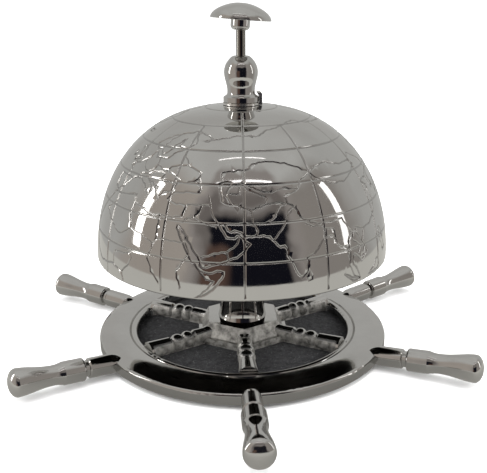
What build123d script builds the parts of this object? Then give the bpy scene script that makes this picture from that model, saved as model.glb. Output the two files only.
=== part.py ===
from build123d import *
import os
from math import acos, cos, radians, sin, tan

# A counter bell on a ship's-wheel base, rung by pressing the button on top.
# Millimetres. Z is up, the table is z = 0, the axis of the bell is the Z axis.
# One handle of the wheel points to -Y (front). The striker sits behind the column, on the +Y side.

os.makedirs("parts", exist_ok=True)

# ---------------------------------------------------------------- driving dimensions

# Felt and wheel
FELT_THICK = 2.4
FELT_R = 49.0
FELT_HOLE_R = 7.0
FELT_GAP = 0.2  # radial, between the felt and the wheel's recess
WHEEL_R = 52.0
WHEEL_FOOT_Z = 1.3  # underside of the ring, which the felt stands proud of
RING_EDGE_Z = 5.4  # top of the ring at its outer edge
RING_CROWN_Z = 5.9  # highest line of the ring's flat
RING_INNER_R = 38.6  # edge of the windows
INNER_EDGE_Z = 5.1
INNER_CREST_R = 39.6
INNER_CREST_Z = 5.8
RING_CROWN_R = 45.8
GROOVE_R = 41.0  # centre of the turned groove round the ring
GROOVE_WIDTH = 0.8
GROOVE_FLOOR_Z = 4.9
GROOVE_INNER_Z = 5.6
GROOVE_OUTER_Z = 5.7
EDGE_ROUND = 1.0
FOOT_CHAMFER = 0.4
WINDOW_CORNER_R = 3.6
SPOKES = 6
WEB_HALF_WIDTH = 2.0  # flat web under each round spoke
WEB_TOP_Z = 4.8
HUB_FLAT_R = 16.0  # centre to a flat of the six-sided hub, at its foot
HUB_TOP_Z = 9.4
HUB_DRAFT = 28  # degrees, the hub's sides lean in
SPOKE_HUB_Z = 5.7  # height of the spokes' axis where it meets the bell's axis
SPOKE_FALL = 1.8  # degrees, outwards and down
SPOKE_ROOT_R = 10.0
SPOKE_ROOT_RADIUS = 3.7
SPOKE_NECK_R = 16.5
SPOKE_RADIUS = 2.55
BEAD_VALLEYS_R = (21.4, 25.2, 29.4)  # two beads, between three valleys
VALLEY_RADIUS = 2.15
BEAD_RADIUS = 3.05
SHOULDER_RADIUS = 2.75  # the plain lengths either side of the beads
SHOULDER_LENGTH = 0.9
SPOKE_END_R = 38.5
SPOKE_END_RADIUS = 3.3

TIP_FLAT_R = 0.5  # small flat left at the centre of a turned end

# Handles, which rise slightly outwards
HANDLE_ROOT_Z = 3.8  # height of the handles' axis at the wheel's edge
HANDLE_RISE = 4.5  # degrees
BOSS_NOSE_R = 47.0
BOSS_END_R = 60.9
BOSS_RADIUS = 3.35
BOSS_CHAMFER = 0.4
BOSS_NOSE_END_R = 53.2
STUD_RADIUS = 2.0
STUD_START_R = 55.0  # bottom of the stud's hole
STUD_TIP_GAP = 0.5
NECK_RADIUS = 2.7
BARREL_START_R = 62.3
BARREL_END_R = 69.4
BARREL_RADIUS = 3.85
BARREL_ROUND = 0.7
STEP_R = 70.6  # the barrel steps down here
STEP_RADIUS = 3.5
WAIST_R = 73.4
WAIST_RADIUS = 3.3
SWELL_R = 77.9
SWELL_RADIUS = 3.8
HANDLE_END_RADIUS = 4.6
HANDLE_WIDEST_R = 84.2
HANDLE_TIP_R = 86.9
TIP_ARC = 84  # degrees of the rounded tip, which leaves a small flat

# Bell. Its profile is a rounded ellipse, which powers of the cosine and sine shape.
LIP_Z = 35.1
DOME_R = 50.8
DOME_RISE = 50.95
DOME_WALL = 2.2
PROFILE_R_POWER = 0.80
PROFILE_Z_POWER = 0.98
PROFILE_STEPS = 14
CROWN_FLAT_R = 6.5
LIP_ROUND = 0.6

# Column, and the bush that closes it and carries the bell
COLUMN_R = 7.95
COLUMN_FOOT_R = 8.8
COLUMN_FLARE_HEIGHT = 11.0
CHAMBER_R = 4.7
CHAMBER_FLOOR_Z = 50.0
COLUMN_TOP_Z = 81.0
SPIGOT_R = 5.0
SPIGOT_LENGTH = 2.0
NECK_R = 3.0
NECK_TOP_Z = 91.8
BUSH_PLUG_LENGTH = 4.6
FLANGE_THICK = 1.85
CLEARANCE = 0.1  # radial, round a screw or a neck
EDGE_CHAMFER = 0.5

# Plunger
ROD_R = 1.55
RUNNING_GAP = 0.05  # radial, between a shaft and its guide
ROD_FOOT_Z = 58.3
ROD_TOP_Z = 116.0
CLIP_THICK = 0.7
CLIP_R = 3.2
CLIP_GROOVE_R = 1.1
STOP_GAP = 0.05
CLIP_MOUTH = 1.6  # an E-clip's mouth, as a multiple of the radius it grips
SPRING_FOOT_Z = 62.8
SPRING_TOP_Z = 74.8
SPRING_MEAN_R = 3.1
SPRING_WIRE_R = 0.3
SPRING_TURNS = 6
SPRING_END_GAP = 0.02
SPRING_WASHER_R = 4.2
SEAT_THICK = 2.5

# Washer, nut and button
TAB_WASHER_THICK = 0.7
TAB_R = 7.0  # how far out the tab stands
TAB_WIDTH = 3.8
TAB_TOP_Z = 90.3
TAB_LEAN_R = 5.3  # the tab is folded in over the nut's shoulder as far as this
TAB_ROUND = 0.5
TAB_CHAMFER = 0.6
TAB_INSIDE_Z = 89.85  # where the folded part starts
COLLAR_R = 6.0
COLLAR_HEIGHT = 1.9
COLLAR_CHAMFER = 0.3
NUT_WAIST_R = 4.65
NUT_WAIST_Z = 90.1
EGG_CURVE = ((4.95, 92.7), (5.7, 96.6), (4.9, 99.6), (3.8, 101.05))
NUT_TOP_Z = 102.0
NUT_TOP_RIM = 0.6  # width of the flat round the rod
KNOB_R = 10.1
KNOB_RISE = 5.2
KNOB_EDGE = 0.2
KNOB_CURVE = ((9.5, 1.55), (8.05, 2.85), (5.5, 4.15), (2.9, 4.95))
KNOB_UNDER_Z = 113.5
KNOB_BOSS_R = 3.2
KNOB_BOSS_LENGTH = 3.4
KNOB_BOSS_ROUND = 1.5
KNOB_TILT = 4.5  # degrees, the button sits a little askew on its rod

# Striker
PIVOT_Y = 13.0
PIVOT_Z = 56.8
LEVER_HALF_WIDTH = 2.5
LEVER_THICK = 2.2
LEVER_TOP_Z = 58.2
LEVER_EYE_R = 3.0
LEVER_BEND_R = 4.0
LEVER_TIP_Y = -1.4
LEVER_KNEE_Y = 16.0
LEVER_TAB_Y = 34.2
LEVER_TAB_TOP_Z = 49.5
LEVER_TAB_FOOT_Z = 40.9
PIN_R = 1.25
PIN_HEAD_R = 2.0
PIN_HEAD_THICK = 1.0
PIN_HEAD_CHAMFER = 0.3
PIN_PAST_CLIP = 0.5
PIN_GROOVE_R = 0.9
PIN_CLIP_R = 2.3
PIN_CLIP_THICK = 0.6
EAR_THICK = 1.6
EAR_GAP = 0.3
EAR_R = 3.2
EAR_START_R = 8.1
BRACKET_LOW_Z = 43.0
BRACKET_HIGH_Z = 70.5
BRACKET_THICK = 1.6
HAMMER_R = 4.0
HAMMER_Z = 43.5
HAMMER_NOSE_Y = 41.7
HAMMER_NOSE_LENGTH = 2.2
HAMMER_SHOULDER_Y = 41.1
HAMMER_SHOULDER_RADIUS = 2.3
SHANK_R = 1.5
SHANK_PAST_NUT = 0.6
HAMMER_NUT_FLAT_R = 2.75
HAMMER_NUT_THICK = 2.2

# Screws, plain where the thread would be
BASE_SCREW_R = 2.5
BASE_SCREW_HEAD_R = 4.4
BASE_SCREW_HEAD_THICK = 2.4
BASE_SCREW_HEAD_ROUND = 0.8
BASE_SCREW_REACH = 12.0  # depth of its thread in the column
BASE_SCREW_TIP_GAP = 1.5
COUNTERBORE_GAP = 0.8
COUNTERBORE_DEPTH = 2.3
LOCK_WASHER_MOUTH = 0.5
LOCK_WASHER_THICK = 0.8
BRACKET_SCREW_R = 1.25
BRACKET_SCREW_HEAD_R = 2.2
BRACKET_SCREW_HEAD_THICK = 1.4
BRACKET_SCREW_TIP_Y = 4.9
BRACKET_SCREW_HEIGHTS = (45.8, 67.5)
SLOT_WIDTH = 1.0
SLOT_DEPTH = 0.8

# ---------------------------------------------------------------- worked out from them

CROWN_Z = LIP_Z + DOME_RISE
CROWN_INSIDE_Z = CROWN_Z - DOME_WALL
NUT_FOOT_Z = CROWN_Z + TAB_WASHER_THICK
COLLAR_TOP_Z = NUT_FOOT_Z + COLLAR_HEIGHT
SEAT_Z = FELT_THICK  # underside of the wheel above the felt
SCREW_SEAT_Z = SEAT_Z + COUNTERBORE_DEPTH
RECESS_R = FELT_R + FELT_GAP
GUIDE_R = ROD_R + RUNNING_GAP
CLIP_Z = COLUMN_TOP_Z - BUSH_PLUG_LENGTH - STOP_GAP - CLIP_THICK
LEVER_SLOT_TOP_Z = SPRING_FOOT_Z - SEAT_THICK
LEVER_SLOT_HALF_WIDTH = LEVER_HALF_WIDTH + EAR_GAP
BRACKET_HALF_WIDTH = LEVER_SLOT_HALF_WIDTH + EAR_THICK
SADDLE_R = COLUMN_R + BRACKET_THICK
SPOKE_TILT = radians(-SPOKE_FALL)
HANDLE_TILT = radians(HANDLE_RISE)
FRONT = -90  # degrees, the direction of the first spoke and handle


def radial_plane(height_on_axis, tilt):
    """Vertical plane through the Z axis: local x runs out along a line tilted from +X, local y is up."""
    return Plane(
        origin=(0, 0, height_on_axis),
        x_dir=(cos(tilt), 0, sin(tilt)),
        z_dir=(0, -1, 0),
    )


SPOKE_PLANE = radial_plane(SPOKE_HUB_Z, SPOKE_TILT)
HANDLE_PLANE = radial_plane(HANDLE_ROOT_Z - WHEEL_R * tan(HANDLE_TILT), HANDLE_TILT)
SPOKE_AXIS = Axis(SPOKE_PLANE.origin, SPOKE_PLANE.x_dir)
HANDLE_AXIS = Axis(HANDLE_PLANE.origin, HANDLE_PLANE.x_dir)


def at_ring(vertex):
    """Whether a corner of a window lies on the ring."""
    return Vector(vertex.X, vertex.Y).length > RING_INNER_R - 1


def finish(builder, name):
    """Label a finished piece and write it."""
    builder.part.label = name
    export_step(builder.part, f"parts/{name}.step")


# ---------------------------------------------------------------- felt pad

with BuildPart() as felt_pad:
    with BuildSketch(Plane.XY):
        Circle(FELT_R)
        Circle(FELT_HOLE_R, mode=Mode.SUBTRACT)
    extrude(amount=FELT_THICK)
finish(felt_pad, "felt_pad")

# ---------------------------------------------------------------- wheel casting

# One round spoke, with two beads and a flared outer end
with BuildPart() as spoke:
    with BuildSketch(SPOKE_PLANE):
        with BuildLine():
            Polyline((SPOKE_END_R, 0), (SPOKE_ROOT_R, 0), (SPOKE_ROOT_R, SPOKE_ROOT_RADIUS))
            Spline(
                (SPOKE_ROOT_R, SPOKE_ROOT_RADIUS),
                (SPOKE_NECK_R, SPOKE_RADIUS),
                tangents=[(1, 0), (1, 0)],
            )
            Polyline(
                (SPOKE_NECK_R, SPOKE_RADIUS),
                (BEAD_VALLEYS_R[0] - SHOULDER_LENGTH, SHOULDER_RADIUS),
                (BEAD_VALLEYS_R[0], VALLEY_RADIUS),
            )
            for start, end in zip(BEAD_VALLEYS_R, BEAD_VALLEYS_R[1:]):
                bead_top = ((start + end) / 2, BEAD_RADIUS)
                ThreePointArc((start, VALLEY_RADIUS), bead_top, (end, VALLEY_RADIUS))
            Polyline(
                (BEAD_VALLEYS_R[-1], VALLEY_RADIUS),
                (BEAD_VALLEYS_R[-1] + SHOULDER_LENGTH, SHOULDER_RADIUS),
                (SPOKE_END_R, SPOKE_END_RADIUS),
                (SPOKE_END_R, 0),
            )
        make_face()
    revolve(axis=SPOKE_AXIS)

# One boss that a handle screws into, and the hole for the handle's stud
with BuildPart() as boss:
    with BuildSketch(HANDLE_PLANE):
        with BuildLine():
            Line((BOSS_NOSE_R, 0), (BOSS_END_R, 0))
            Line((BOSS_END_R, 0), (BOSS_END_R, BOSS_RADIUS - BOSS_CHAMFER))
            Line((BOSS_END_R, BOSS_RADIUS - BOSS_CHAMFER), (BOSS_END_R - BOSS_CHAMFER, BOSS_RADIUS))
            Line((BOSS_END_R - BOSS_CHAMFER, BOSS_RADIUS), (BOSS_NOSE_END_R, BOSS_RADIUS))
            TangentArc((BOSS_NOSE_END_R, BOSS_RADIUS), (BOSS_NOSE_R, 0), tangent=(-1, 0))
        make_face()
    revolve(axis=HANDLE_AXIS)

with BuildPart() as stud_hole:
    with BuildSketch(HANDLE_PLANE):
        with Locations(((STUD_START_R + BOSS_END_R + 1) / 2, STUD_RADIUS / 2)):
            Rectangle(BOSS_END_R + 1 - STUD_START_R, STUD_RADIUS)
    revolve(axis=HANDLE_AXIS)

# The six windows between the spokes, with their outer corners rounded
with BuildSketch() as windows:
    Circle(RING_INNER_R)
    RegularPolygon(HUB_FLAT_R, SPOKES, major_radius=False, rotation=180 / SPOKES, mode=Mode.SUBTRACT)
    with PolarLocations(RING_INNER_R / 2, SPOKES, start_angle=FRONT):
        Rectangle(RING_INNER_R + 2, 2 * WEB_HALF_WIDTH, mode=Mode.SUBTRACT)
    fillet(windows.vertices().filter_by(at_ring), WINDOW_CORNER_R)

with BuildPart() as wheel_base:
    # Ring, turned in one profile: inner ring, groove, crowned flat, outer edge, recess for the felt
    with BuildSketch(Plane.XZ):
        with BuildLine():
            Line((RING_INNER_R, SEAT_Z), (RING_INNER_R, INNER_EDGE_Z))
            ThreePointArc(
                (RING_INNER_R, INNER_EDGE_Z),
                (INNER_CREST_R, INNER_CREST_Z),
                (GROOVE_R - GROOVE_WIDTH / 2, GROOVE_INNER_Z),
            )
            Line((GROOVE_R - GROOVE_WIDTH / 2, GROOVE_INNER_Z), (GROOVE_R, GROOVE_FLOOR_Z))
            Line((GROOVE_R, GROOVE_FLOOR_Z), (GROOVE_R + GROOVE_WIDTH / 2, GROOVE_OUTER_Z))
            ThreePointArc(
                (GROOVE_R + GROOVE_WIDTH / 2, GROOVE_OUTER_Z),
                (RING_CROWN_R, RING_CROWN_Z),
                (WHEEL_R - EDGE_ROUND, RING_EDGE_Z),
            )
            RadiusArc((WHEEL_R - EDGE_ROUND, RING_EDGE_Z), (WHEEL_R, RING_EDGE_Z - EDGE_ROUND), EDGE_ROUND)
            Line((WHEEL_R, RING_EDGE_Z - EDGE_ROUND), (WHEEL_R, WHEEL_FOOT_Z + FOOT_CHAMFER))
            Line((WHEEL_R, WHEEL_FOOT_Z + FOOT_CHAMFER), (WHEEL_R - FOOT_CHAMFER, WHEEL_FOOT_Z))
            Line((WHEEL_R - FOOT_CHAMFER, WHEEL_FOOT_Z), (RECESS_R, WHEEL_FOOT_Z))
            Line((RECESS_R, WHEEL_FOOT_Z), (RECESS_R, SEAT_Z))
            Line((RECESS_R, SEAT_Z), (RING_INNER_R, SEAT_Z))
        make_face()
    revolve(axis=Axis.Z)
    # Webs under the spokes: a disc with six windows
    with BuildSketch(Plane.XY.offset(SEAT_Z)):
        Circle(RING_INNER_R + 1)
        add(windows.sketch, mode=Mode.SUBTRACT)
    extrude(amount=WEB_TOP_Z - SEAT_Z)
    # Hub, with a flat between each two spokes
    with BuildSketch(Plane.XY.offset(SEAT_Z)):
        RegularPolygon(HUB_FLAT_R, SPOKES, major_radius=False, rotation=180 / SPOKES)
    extrude(amount=HUB_TOP_Z - SEAT_Z, taper=HUB_DRAFT)
    with PolarLocations(0, SPOKES, start_angle=FRONT):
        add(spoke.part)
        add(boss.part)
    # Clear the recess for the felt of the spokes' and bosses' undersides
    with BuildSketch(Plane.XY.offset(SEAT_Z)):
        Circle(RECESS_R)
    extrude(amount=-2 * SEAT_Z, mode=Mode.SUBTRACT)
    # The screw's way up through the hub: head and washer, shank, column spigot
    with BuildSketch(Plane.XY.offset(SEAT_Z)):
        Circle(BASE_SCREW_HEAD_R + COUNTERBORE_GAP)
    extrude(amount=SCREW_SEAT_Z - SEAT_Z, mode=Mode.SUBTRACT)
    with BuildSketch(Plane.XY.offset(SCREW_SEAT_Z)):
        Circle(BASE_SCREW_R + 2 * CLEARANCE)
    extrude(amount=HUB_TOP_Z, mode=Mode.SUBTRACT)
    with BuildSketch(Plane.XY.offset(HUB_TOP_Z)):
        Circle(SPIGOT_R)
    extrude(amount=-SPIGOT_LENGTH, mode=Mode.SUBTRACT)
    with PolarLocations(0, SPOKES, start_angle=FRONT):
        add(stud_hole.part, mode=Mode.SUBTRACT)
finish(wheel_base, "wheel_base")

# ---------------------------------------------------------------- handles

with BuildPart() as handle:
    with BuildSketch(HANDLE_PLANE):
        with BuildLine():
            Polyline(
                (STUD_START_R + STUD_TIP_GAP, 0),
                (STUD_START_R + STUD_TIP_GAP, STUD_RADIUS),
                (BOSS_END_R, STUD_RADIUS),
                (BOSS_END_R, NECK_RADIUS),
                (BARREL_START_R, NECK_RADIUS),
                (BARREL_START_R, BARREL_RADIUS - BARREL_ROUND),
            )
            RadiusArc(
                (BARREL_START_R, BARREL_RADIUS - BARREL_ROUND),
                (BARREL_START_R + BARREL_ROUND, BARREL_RADIUS),
                BARREL_ROUND,
            )
            Line((BARREL_START_R + BARREL_ROUND, BARREL_RADIUS), (BARREL_END_R, BARREL_RADIUS))
            Spline(
                (BARREL_END_R, BARREL_RADIUS),
                (STEP_R, STEP_RADIUS),
                (WAIST_R, WAIST_RADIUS),
                (SWELL_R, SWELL_RADIUS),
                (HANDLE_WIDEST_R, HANDLE_END_RADIUS),
            )
            tip = EllipticalCenterArc(
                (HANDLE_WIDEST_R, 0),
                HANDLE_TIP_R - HANDLE_WIDEST_R,
                HANDLE_END_RADIUS,
                start_angle=90,
                arc_size=-TIP_ARC,
            )
            tip_end = tip @ 1
            Polyline((tip_end.X, tip_end.Y), (tip_end.X, 0), (STUD_START_R + STUD_TIP_GAP, 0))
        make_face()
    revolve(axis=HANDLE_AXIS)

for number in range(SPOKES):
    with BuildPart() as one_handle:
        with PolarLocations(0, 1, start_angle=FRONT + number * 360 / SPOKES):
            add(handle.part)
    finish(one_handle, f"handle_{number + 1}")

# ---------------------------------------------------------------- bell


def profile_point(angle, radius, rise):
    """A point on the bell's profile; angle is 0 at the lip and 90 degrees at the crown."""
    return (
        radius * cos(angle) ** PROFILE_R_POWER,
        LIP_Z + rise * sin(angle) ** PROFILE_Z_POWER,
    )


def profile_curve(radius, rise, flat):
    """Points along the profile from the lip to where it meets the crown's flat."""
    last = acos((flat / radius) ** (1 / PROFILE_R_POWER))
    curve = [profile_point(last * step / PROFILE_STEPS, radius, rise) for step in range(PROFILE_STEPS)]
    return curve + [(flat, LIP_Z + rise)]


with BuildPart() as dome:
    outside = profile_curve(DOME_R, DOME_RISE, CROWN_FLAT_R)
    inside = profile_curve(DOME_R - DOME_WALL, DOME_RISE - DOME_WALL, CROWN_FLAT_R)
    with BuildSketch(Plane.XZ):
        with BuildLine():
            Spline(*outside, tangents=[(0, 1), (-1, 0)])
            Line(outside[-1], (NECK_R + CLEARANCE, CROWN_Z))
            Line((NECK_R + CLEARANCE, CROWN_Z), (NECK_R + CLEARANCE, CROWN_INSIDE_Z))
            Line((NECK_R + CLEARANCE, CROWN_INSIDE_Z), inside[-1])
            Spline(*inside[::-1], tangents=[(1, 0), (0, -1)])
            Line(inside[0], outside[0])
        make_face()
    revolve(axis=Axis.Z)
    lip = dome.edges().filter_by(GeomType.CIRCLE).group_by(Axis.Z)[0]
    fillet(lip, LIP_ROUND)
finish(dome, "dome")

# ---------------------------------------------------------------- column and the bush that closes it

with BuildPart() as column:
    with BuildSketch(Plane.XY.offset(HUB_TOP_Z)):
        Circle(COLUMN_R)
    extrude(amount=COLUMN_TOP_Z - HUB_TOP_Z)
    # Flared foot, and a spigot that sits in the hub
    with BuildSketch(Plane.XZ):
        with BuildLine():
            Line((SPIGOT_R, HUB_TOP_Z), (COLUMN_FOOT_R, HUB_TOP_Z))
            Spline(
                (COLUMN_FOOT_R, HUB_TOP_Z),
                (COLUMN_R, HUB_TOP_Z + COLUMN_FLARE_HEIGHT),
                tangents=[(-0.3, 1), (0, 1)],
            )
            Polyline(
                (COLUMN_R, HUB_TOP_Z + COLUMN_FLARE_HEIGHT),
                (SPIGOT_R, HUB_TOP_Z + COLUMN_FLARE_HEIGHT),
                (SPIGOT_R, HUB_TOP_Z),
            )
        make_face()
    revolve(axis=Axis.Z)
    with BuildSketch(Plane.XY.offset(HUB_TOP_Z - SPIGOT_LENGTH)):
        Circle(SPIGOT_R)
    extrude(amount=SPIGOT_LENGTH)
    with BuildSketch(Plane.XY.offset(CHAMBER_FLOOR_Z)):
        Circle(CHAMBER_R)
    extrude(amount=COLUMN_TOP_Z - CHAMBER_FLOOR_Z, mode=Mode.SUBTRACT)
    # Thread for the base screw, from below
    with BuildSketch(Plane.XY.offset(HUB_TOP_Z - SPIGOT_LENGTH)):
        Circle(BASE_SCREW_R)
    extrude(amount=BASE_SCREW_REACH, mode=Mode.SUBTRACT)
    # Slot through the back wall for the lever's inner arm
    with BuildSketch(Plane.XZ.offset(-SADDLE_R)):
        with Locations((0, (CHAMBER_FLOOR_Z + LEVER_SLOT_TOP_Z) / 2)):
            Rectangle(2 * LEVER_SLOT_HALF_WIDTH, LEVER_SLOT_TOP_Z - CHAMBER_FLOOR_Z)
    extrude(amount=SADDLE_R, mode=Mode.SUBTRACT)
    # Threads for the bracket's two screws
    for height in BRACKET_SCREW_HEIGHTS:
        with BuildSketch(Plane.XZ.offset(-SADDLE_R)):
            with Locations((0, height)):
                Circle(BRACKET_SCREW_R)
        extrude(amount=SADDLE_R - BRACKET_SCREW_TIP_Y, mode=Mode.SUBTRACT)
finish(column, "column")

with BuildPart() as top_bush:
    with BuildSketch(Plane.XZ):
        with BuildLine():
            Polyline(
                (GUIDE_R, COLUMN_TOP_Z - BUSH_PLUG_LENGTH),
                (CHAMBER_R, COLUMN_TOP_Z - BUSH_PLUG_LENGTH),
                (CHAMBER_R, COLUMN_TOP_Z),
                (COLUMN_R, COLUMN_TOP_Z),
                (COLUMN_R, COLUMN_TOP_Z + FLANGE_THICK),
                (NECK_R, COLUMN_TOP_Z + FLANGE_THICK),
                (NECK_R, NECK_TOP_Z - EDGE_CHAMFER),
                (NECK_R - EDGE_CHAMFER, NECK_TOP_Z),
                (GUIDE_R, NECK_TOP_Z),
                close=True,
            )
        make_face()
    revolve(axis=Axis.Z)
finish(top_bush, "top_bush")

with BuildPart() as fibre_washer:
    with BuildSketch(Plane.XY.offset(COLUMN_TOP_Z + FLANGE_THICK)):
        Circle(CROWN_FLAT_R)
        Circle(NECK_R + RUNNING_GAP, mode=Mode.SUBTRACT)
    extrude(amount=CROWN_INSIDE_Z - COLUMN_TOP_Z - FLANGE_THICK)
finish(fibre_washer, "fibre_washer")

# ---------------------------------------------------------------- washer and nut on top of the bell

with BuildPart() as tab_washer:
    with BuildSketch(Plane.XY.offset(CROWN_Z)):
        Circle(COLLAR_R + CLEARANCE)
        with Locations((COLLAR_R, 0)):
            Rectangle(2 * (TAB_R - COLLAR_R), TAB_WIDTH)
        Circle(NECK_R + CLEARANCE, mode=Mode.SUBTRACT)
    extrude(amount=TAB_WASHER_THICK)
    # The tab, turned up beside the nut's collar and folded in over its shoulder
    with BuildSketch(Plane.XZ):
        with BuildLine():
            Polyline(
                (TAB_R, CROWN_Z),
                (TAB_R, TAB_TOP_Z - TAB_CHAMFER),
                (TAB_R - TAB_CHAMFER, TAB_TOP_Z),
                (TAB_LEAN_R, TAB_TOP_Z),
                (TAB_LEAN_R, TAB_INSIDE_Z),
                (COLLAR_R + RUNNING_GAP, COLLAR_TOP_Z + CLEARANCE),
                (COLLAR_R + RUNNING_GAP, CROWN_Z),
                close=True,
            )
        make_face()
    extrude(amount=TAB_WIDTH / 2, both=True)
    fillet(tab_washer.edges().filter_by(Axis.X).group_by(Axis.Z)[-1], TAB_ROUND)
finish(tab_washer, "tab_washer")

with BuildPart() as finial_nut:
    with BuildSketch(Plane.XZ):
        with BuildLine():
            Polyline(
                (GUIDE_R, NUT_TOP_Z),
                (GUIDE_R, NECK_TOP_Z + CLEARANCE),
                (NECK_R, NECK_TOP_Z + CLEARANCE),
                (NECK_R, NUT_FOOT_Z),
                (COLLAR_R - COLLAR_CHAMFER, NUT_FOOT_Z),
                (COLLAR_R, NUT_FOOT_Z + COLLAR_CHAMFER),
                (COLLAR_R, COLLAR_TOP_Z),
            )
            Spline(
                (COLLAR_R, COLLAR_TOP_Z),
                (NUT_WAIST_R, NUT_WAIST_Z),
                tangents=[(-1, 0.7), (0, 1)],
            )
            Spline(
                (NUT_WAIST_R, NUT_WAIST_Z),
                *EGG_CURVE,
                (GUIDE_R + NUT_TOP_RIM, NUT_TOP_Z),
                tangents=[(0, 1), (-1, 0.1)],
            )
            Line((GUIDE_R + NUT_TOP_RIM, NUT_TOP_Z), (GUIDE_R, NUT_TOP_Z))
        make_face()
    revolve(axis=Axis.Z)
finish(finial_nut, "finial_nut")

# ---------------------------------------------------------------- plunger

with BuildPart() as plunger_rod:
    with BuildSketch(Plane.XZ):
        with BuildLine():
            Polyline(
                (0, ROD_FOOT_Z),
                (0, ROD_TOP_Z),
                (ROD_R, ROD_TOP_Z),
                (ROD_R, CLIP_Z + CLIP_THICK),
                (CLIP_GROOVE_R, CLIP_Z + CLIP_THICK),
                (CLIP_GROOVE_R, CLIP_Z),
                (ROD_R, CLIP_Z),
                (ROD_R, ROD_FOOT_Z + ROD_R),
            )
            RadiusArc((ROD_R, ROD_FOOT_Z + ROD_R), (0, ROD_FOOT_Z), ROD_R)
        make_face()
    revolve(axis=Axis.Z)
finish(plunger_rod, "plunger_rod")

KNOB_PLANE = Plane(
    origin=(0, 0, KNOB_UNDER_Z),
    x_dir=(cos(radians(KNOB_TILT)), 0, -sin(radians(KNOB_TILT))),
    z_dir=(0, -1, 0),
)
with BuildPart() as push_knob:
    with BuildSketch(KNOB_PLANE):
        with BuildLine():
            Polyline(
                (TIP_FLAT_R, KNOB_RISE),
                (0, KNOB_RISE),
                (0, -KNOB_BOSS_LENGTH),
                (KNOB_BOSS_R - KNOB_BOSS_ROUND, -KNOB_BOSS_LENGTH),
            )
            RadiusArc(
                (KNOB_BOSS_R - KNOB_BOSS_ROUND, -KNOB_BOSS_LENGTH),
                (KNOB_BOSS_R, KNOB_BOSS_ROUND - KNOB_BOSS_LENGTH),
                -KNOB_BOSS_ROUND,
            )
            Polyline(
                (KNOB_BOSS_R, KNOB_BOSS_ROUND - KNOB_BOSS_LENGTH),
                (KNOB_BOSS_R, 0),
                (KNOB_R - KNOB_EDGE, 0),
            )
            Line((KNOB_R - KNOB_EDGE, 0), (KNOB_R, KNOB_EDGE))
            Spline(
                (KNOB_R, KNOB_EDGE),
                *KNOB_CURVE,
                (TIP_FLAT_R, KNOB_RISE),
            )
        make_face()
    revolve(axis=Axis(KNOB_PLANE.origin, KNOB_PLANE.y_dir))
    # Thread for the rod, in line with the rod
    with BuildSketch(Plane.XY.offset(ROD_TOP_Z)):
        Circle(ROD_R)
    extrude(amount=-2 * KNOB_RISE, mode=Mode.SUBTRACT)
finish(push_knob, "push_knob")


def open_ring(outer, inner, gap):
    """Sketch a ring with a gap to the -Y side, as an E-clip or a spring washer has."""
    Circle(outer)
    Circle(inner, mode=Mode.SUBTRACT)
    with Locations((0, -outer / 2)):
        Rectangle(gap, outer, mode=Mode.SUBTRACT)


with BuildPart() as retaining_clip:
    with BuildSketch(Plane.XY.offset(CLIP_Z)):
        open_ring(CLIP_R, CLIP_GROOVE_R, CLIP_MOUTH * CLIP_GROOVE_R)
    extrude(amount=CLIP_THICK)
finish(retaining_clip, "retaining_clip")

with BuildPart() as spring_washer:
    with BuildSketch(Plane.XY.offset(SPRING_TOP_Z)):
        Circle(SPRING_WASHER_R)
        Circle(GUIDE_R, mode=Mode.SUBTRACT)
    extrude(amount=CLIP_Z - SPRING_TOP_Z)
finish(spring_washer, "spring_washer")

with BuildPart() as return_spring:
    coil_start = SPRING_FOOT_Z + SPRING_WIRE_R + SPRING_END_GAP
    coil_height = SPRING_TOP_Z - SPRING_WIRE_R - SPRING_END_GAP - coil_start
    with BuildLine() as coil:
        Helix(coil_height / SPRING_TURNS, coil_height, SPRING_MEAN_R, center=(0, 0, coil_start))
    with BuildSketch(Plane(coil.line @ 0, z_dir=coil.line % 0)):
        Circle(SPRING_WIRE_R)
    sweep(path=coil.line, is_frenet=True)
finish(return_spring, "return_spring")

with BuildPart() as spring_seat:
    with BuildSketch(Plane.XY.offset(LEVER_SLOT_TOP_Z)):
        Circle(CHAMBER_R)
        Circle(GUIDE_R, mode=Mode.SUBTRACT)
    extrude(amount=SEAT_THICK)
finish(spring_seat, "spring_seat")

# ---------------------------------------------------------------- striker

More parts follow.
